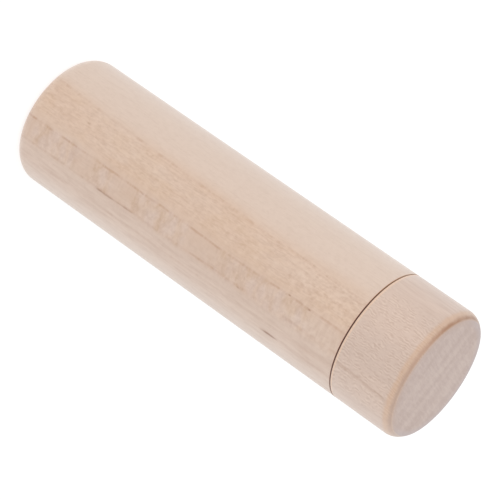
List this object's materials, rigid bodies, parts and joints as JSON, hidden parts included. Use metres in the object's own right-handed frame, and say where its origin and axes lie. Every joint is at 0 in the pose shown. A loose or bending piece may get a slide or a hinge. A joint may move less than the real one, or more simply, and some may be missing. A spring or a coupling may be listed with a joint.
{
  "type": "needle case",
  "caption": "Turned wooden cylinder with a deep round bore for sewing needles, closed by a short push-on cap on a spigot.",
  "frame": {"origin": "centre of the body's flat base face, on the turning axis", "axes": "+Z along the turning axis, from the base to the cap; the piece is round, so X and Y are any pair square to it"},
  "size_m": [0.023, 0.023, 0.0811],
  "materials": {
    "body_wood": "fine-sanded bare maple, long grain, satin-matt",
    "cap_wood": "fine-sanded bare maple, fleck figure on the side, end grain on the face, satin-matt"
  },
  "bodies": {
    "case": {"case_body": "body_wood"},
    "cap": {"cap": "cap_wood"}
  },
  "joints": [
    {"name": "cap_pull", "type": "slide", "parent": "case", "child": "cap", "axis": [0, 0, 1], "range_m": [0, 0.012]}
  ]
}
